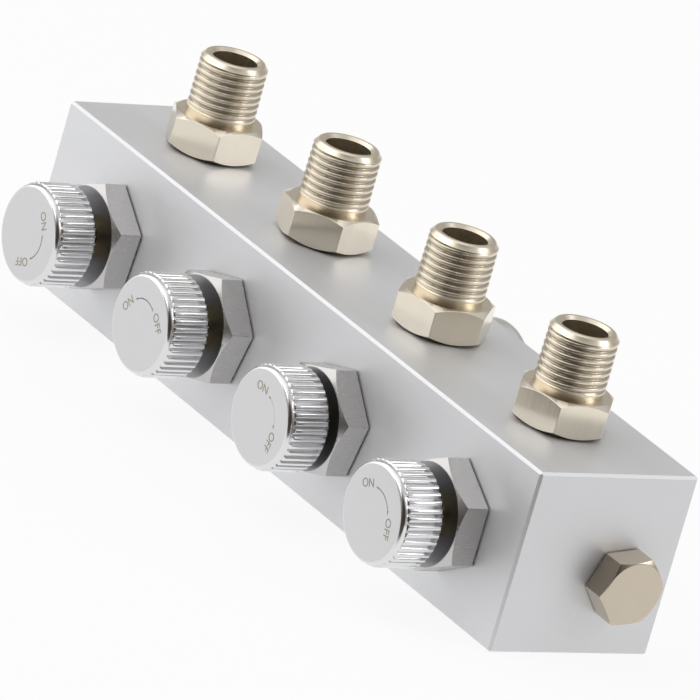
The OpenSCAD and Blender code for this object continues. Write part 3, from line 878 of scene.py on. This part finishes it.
class MANIFOLD_OT_stage(bpy.types.Operator):
    """Set the floor, the light and the camera"""
    bl_idname = "manifold.stage"
    bl_label = "Stage"

    def floor(self, side):
        """White paper, with a dark part to one side that only reflections show."""
        deselect()
        bpy.ops.mesh.primitive_plane_add(size=side, location=(0, 0, FLOOR_HEIGHT))
        floor = bpy.context.active_object
        floor.name = "floor"
        paper = bpy.data.materials.new("white_paper")
        paper.use_nodes = True
        tree = paper.node_tree
        shader, out = tree.nodes["Principled BSDF"], tree.nodes["Material Output"]
        shader.inputs["Base Color"].default_value = PAPER
        shader.inputs["Roughness"].default_value = PAPER_ROUGHNESS
        glow, mix = add(tree, "ShaderNodeEmission"), add(tree, "ShaderNodeMixShader")
        path = add(tree, "ShaderNodeLightPath")
        seen = add(tree, "ShaderNodeMath", {1: PAPER_SEEN}, operation="MULTIPLY_ADD")
        shine = add(tree, "ShaderNodeMath", {1: PAPER_SHINE}, operation="MULTIPLY")
        place, axes = add(tree, "ShaderNodeTexCoord"), add(tree, "ShaderNodeSeparateXYZ")
        reach = add(tree, "ShaderNodeVectorMath", {1: DUSK_SIDE}, operation="DOT_PRODUCT")
        far, ahead = between(tree, DUSK_FAR), between(tree, DUSK_AHEAD)
        dusk = add(tree, "ShaderNodeMath", operation="MULTIPLY")
        glossy = add(tree, "ShaderNodeMath", operation="MULTIPLY")
        level = add(tree, "ShaderNodeMix", {MIX_FROM: WHITE, MIX_TO: DUSK}, data_type="RGBA")
        link(tree,
             (path, "Is Glossy Ray", shine, 0), (path, "Is Camera Ray", seen, 0), (shine, 0, seen, 2),
             (place, "Object", reach, 0), (reach, "Value", far, "Value"), (far, "Result", dusk, 0),
             (place, "Object", axes, 0), (axes, "Y", ahead, "Value"), (ahead, "Result", dusk, 1),
             (dusk, 0, glossy, 0), (path, "Is Glossy Ray", glossy, 1), (glossy, 0, level, 0),
             (level, MIXED, glow, "Color"), (seen, 0, mix, "Fac"), (shader, 0, mix, 1), (glow, 0, mix, 2),
             (mix, 0, out, "Surface"))
        dress(floor, paper)

    def world(self):
        """Grey surroundings with a darker band, dark to one side, that the camera sees as plain white."""
        world = bpy.data.worlds.new("studio")
        bpy.context.scene.world = world
        world.use_nodes = True
        tree = world.node_tree
        back = tree.nodes["Background"]
        place, axes = add(tree, "ShaderNodeTexCoord"), add(tree, "ShaderNodeSeparateXYZ")
        ramp = add(tree, "ShaderNodeValToRGB")
        stops = ramp.color_ramp.elements
        stops[0].position, stops[0].color = SKY[0]
        stops[1].position, stops[1].color = SKY[-1]
        for position, colour in SKY[1:-1]:
            stops.new(position).color = colour
        toward = add(tree, "ShaderNodeVectorMath", {1: DUSK_SIDE}, operation="DOT_PRODUCT")
        shade = between(tree, DUSK_AROUND)
        dim = add(tree, "ShaderNodeMix", {MIX_TO: DUSK}, data_type="RGBA")
        path = add(tree, "ShaderNodeLightPath")
        mix = add(tree, "ShaderNodeMix", {MIX_TO: WHITE}, data_type="RGBA")
        link(tree,
             (place, "Generated", axes, 0), (axes, "Z", ramp, "Fac"), (ramp, "Color", dim, MIX_FROM),
             (place, "Generated", toward, 0), (toward, "Value", shade, "Value"), (shade, "Result", dim, 0),
             (path, "Is Camera Ray", mix, 0), (dim, MIXED, mix, MIX_FROM), (mix, MIXED, back, "Color"))

    def lamp(self, name, place, aim, size, power):
        """A rectangular lamp at a place, turned to what it aims at."""
        data = bpy.data.lights.new(name, "AREA")
        data.shape = "RECTANGLE"
        data.size, data.size_y = size
        data.energy = power
        lamp = bpy.data.objects.new(name, data)
        bpy.context.scene.collection.objects.link(lamp)
        lamp.location = place
        lamp.rotation_euler = (Vector(aim) - Vector(place)).to_track_quat("-Z", "Y").to_euler()

    def camera(self, place, lens):
        """The camera at its place, turned by its own axes."""
        data = bpy.data.cameras.new("camera")
        camera = bpy.data.objects.new("camera", data)
        bpy.context.scene.collection.objects.link(camera)
        turned = Matrix(CAMERA_AXES).transposed().to_4x4()
        camera.matrix_world = Matrix.Translation(place) @ turned
        data.sensor_width = SENSOR
        data.lens = lens
        data.shift_x, data.shift_y = SHIFT
        bpy.context.scene.camera = camera

    def execute(self, context):
        s = context.scene.manifold_stage
        context.scene.view_settings.view_transform = "Standard"
        self.floor(s.floor)
        self.world()
        for lamp in LAMPS:
            self.lamp(*lamp)
        self.camera(s.camera_place, s.lens)
        return {"FINISHED"}


class MANIFOLD_PT_panel(bpy.types.Panel):
    """Sidebar list of the steps and their settings"""
    bl_idname = "MANIFOLD_PT_panel"
    bl_label = "Air manifold"
    bl_space_type = "VIEW_3D"
    bl_region_type = "UI"
    bl_category = "Manifold"

    def draw(self, context):
        for step in STEPS:
            self.layout.operator(step.bl_idname)
        for name, group in GROUPS.items():
            box = self.layout.box()
            for key in group.__annotations__:
                box.prop(getattr(context.scene, name), key)


GROUPS = {"manifold_nipples": NippleSizes, "manifold_valves": ValveSizes, "manifold_marks": MarkSizes,
          "manifold_fittings": FittingSizes, "manifold_finishes": Finishes, "manifold_stage": StageSizes}
STEPS = (MANIFOLD_OT_stage, MANIFOLD_OT_bar, MANIFOLD_OT_nipples, MANIFOLD_OT_bonnets, MANIFOLD_OT_stems,
         MANIFOLD_OT_knobs, MANIFOLD_OT_marks, MANIFOLD_OT_fittings)


def register():
    for group in GROUPS.values():
        bpy.utils.register_class(group)
    for step in (*STEPS, MANIFOLD_PT_panel):
        bpy.utils.register_class(step)
    for name, group in GROUPS.items():
        setattr(bpy.types.Scene, name, PointerProperty(type=group))


def unregister():
    for name in GROUPS:
        delattr(bpy.types.Scene, name)
    for step in (MANIFOLD_PT_panel, *reversed(STEPS)):
        bpy.utils.unregister_class(step)
    for group in reversed(list(GROUPS.values())):
        bpy.utils.unregister_class(group)


def main():
    register()
    for step in STEPS:
        area, name = step.bl_idname.split(".")
        getattr(getattr(bpy.ops, area), name)()


if __name__ == "__main__":
    main()
